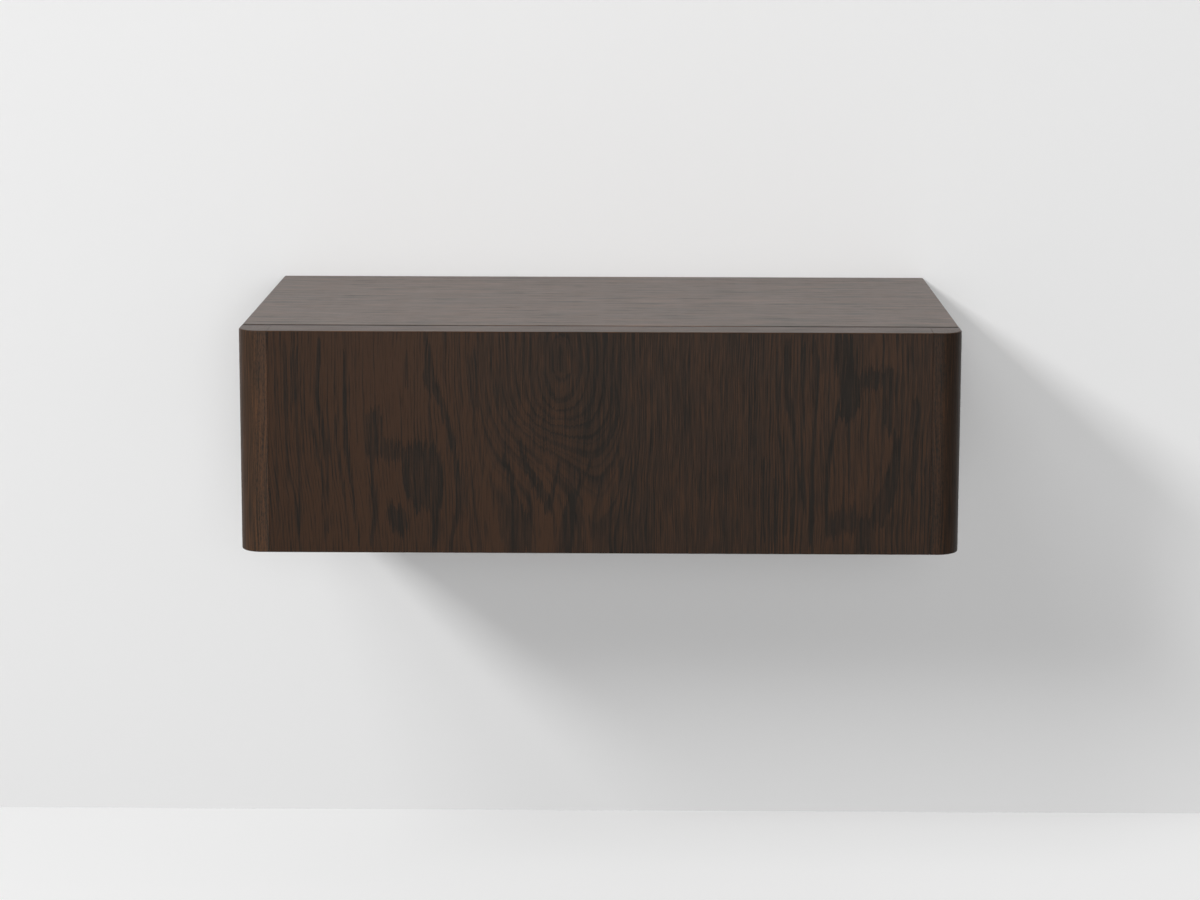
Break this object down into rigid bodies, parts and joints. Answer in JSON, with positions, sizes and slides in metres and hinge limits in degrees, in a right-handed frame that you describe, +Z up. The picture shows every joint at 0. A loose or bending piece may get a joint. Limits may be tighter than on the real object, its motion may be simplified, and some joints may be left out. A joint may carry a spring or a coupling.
{
  "type": "floating nightstand",
  "caption": "Wall-hung nightstand: dark oak case on a hidden hook-over cleat, with a handle-less drawer front, rounded at its corners, that runs on full-extension slides.",
  "frame": {"origin": "centre of the wall cleat's flat back face, on the wall", "axes": "+Z up, +Y into the wall, +X to the right as seen from the front; the drawer front faces -Y"},
  "size_m": [0.61, 0.35, 0.19],
  "materials": {
    "oak_front": "dark stained oak veneer, satin lacquer",
    "oak_post": "dark stained solid oak, satin lacquer",
    "oak_top": "dark stained oak veneer, satin lacquer",
    "oak_case": "dark stained oak veneer, satin lacquer",
    "birch": "clear lacquered birch plywood",
    "slide_steel": "bright zinc plating",
    "ball_cage": "plain steel with polished balls",
    "screw_steel": "zinc-plated steel",
    "black_plastic": "matt moulded",
    "rubber": "soft, slightly clear"
  },
  "bodies": {
    "case": {"case_top": "oak_top", "case_bottom": "oak_case", "case_side_left": "oak_case", "case_side_right": "oak_case", "back_panel": "oak_case", "case_cleat": "birch", "lower_rail": "birch", "wall_cleat": "birch", "cleat_screw_1": "screw_steel", "cleat_screw_2": "screw_steel", "cleat_screw_3": "screw_steel", "cleat_screw_4": "screw_steel", "slide_left_cabinet_member": "slide_steel", "slide_right_cabinet_member": "slide_steel", "cabinet_screw_left_1": "screw_steel", "cabinet_screw_left_2": "screw_steel", "cabinet_screw_right_1": "screw_steel", "cabinet_screw_right_2": "screw_steel", "bumper_left_lower": "rubber", "bumper_left_upper": "rubber", "bumper_right_lower": "rubber", "bumper_right_upper": "rubber"},
    "drawer": {"front_panel": "oak_front", "front_post_left": "oak_post", "front_post_right": "oak_post", "box_side_left": "birch", "box_side_right": "birch", "box_front": "birch", "box_back": "birch", "box_bottom": "birch", "front_screw_1": "screw_steel", "front_screw_2": "screw_steel", "front_screw_3": "screw_steel", "front_screw_4": "screw_steel", "slide_left_drawer_member": "slide_steel", "slide_right_drawer_member": "slide_steel", "drawer_screw_left_1": "screw_steel", "drawer_screw_left_2": "screw_steel", "drawer_screw_right_1": "screw_steel", "drawer_screw_right_2": "screw_steel"},
    "left_middle": {"slide_left_middle_member": "slide_steel"},
    "right_middle": {"slide_right_middle_member": "slide_steel"},
    "left_outer_cage": {"slide_left_outer_ball_cage": "ball_cage"},
    "right_outer_cage": {"slide_right_outer_ball_cage": "ball_cage"},
    "left_inner_cage": {"slide_left_inner_ball_cage": "ball_cage"},
    "right_inner_cage": {"slide_right_inner_ball_cage": "ball_cage"},
    "left_lever": {"slide_left_release_lever": "black_plastic"},
    "right_lever": {"slide_right_release_lever": "black_plastic"}
  },
  "joints": [
    {"name": "drawer_slide", "type": "slide", "parent": "case", "child": "drawer", "axis": [0, -1, 0], "range_m": [0, 0.25]},
    {"name": "left_middle_slide", "type": "slide", "parent": "case", "child": "left_middle", "axis": [0, -1, 0], "range_m": [0, 0.125]},
    {"name": "right_middle_slide", "type": "slide", "parent": "case", "child": "right_middle", "axis": [0, -1, 0], "range_m": [0, 0.125]},
    {"name": "left_outer_cage_roll", "type": "slide", "parent": "case", "child": "left_outer_cage", "axis": [0, -1, 0], "range_m": [0, 0.0625]},
    {"name": "right_outer_cage_roll", "type": "slide", "parent": "case", "child": "right_outer_cage", "axis": [0, -1, 0], "range_m": [0, 0.0625]},
    {"name": "left_inner_cage_roll", "type": "slide", "parent": "left_middle", "child": "left_inner_cage", "axis": [0, -1, 0], "range_m": [0, 0.0625]},
    {"name": "right_inner_cage_roll", "type": "slide", "parent": "right_middle", "child": "right_inner_cage", "axis": [0, -1, 0], "range_m": [0, 0.0625]},
    {"name": "left_lever_lift", "type": "hinge", "parent": "drawer", "child": "left_lever", "pos_m": [-0.27595, -0.234, 0.00128], "axis": [1, 0, 0], "range_deg": [0, 6], "stiffness_Nm_per_rad": 0.02},
    {"name": "right_lever_press", "type": "hinge", "parent": "drawer", "child": "right_lever", "pos_m": [0.27595, -0.234, 0.00128], "axis": [-1, 0, 0], "range_deg": [0, 6], "stiffness_Nm_per_rad": 0.02}
  ],
  "couplings": [
    {"joint": "left_middle_slide", "follows": "drawer_slide", "ratio": 0.5},
    {"joint": "right_middle_slide", "follows": "drawer_slide", "ratio": 0.5},
    {"joint": "left_outer_cage_roll", "follows": "drawer_slide", "ratio": 0.25},
    {"joint": "right_outer_cage_roll", "follows": "drawer_slide", "ratio": 0.25},
    {"joint": "left_inner_cage_roll", "follows": "drawer_slide", "ratio": 0.25},
    {"joint": "right_inner_cage_roll", "follows": "drawer_slide", "ratio": 0.25}
  ]
}
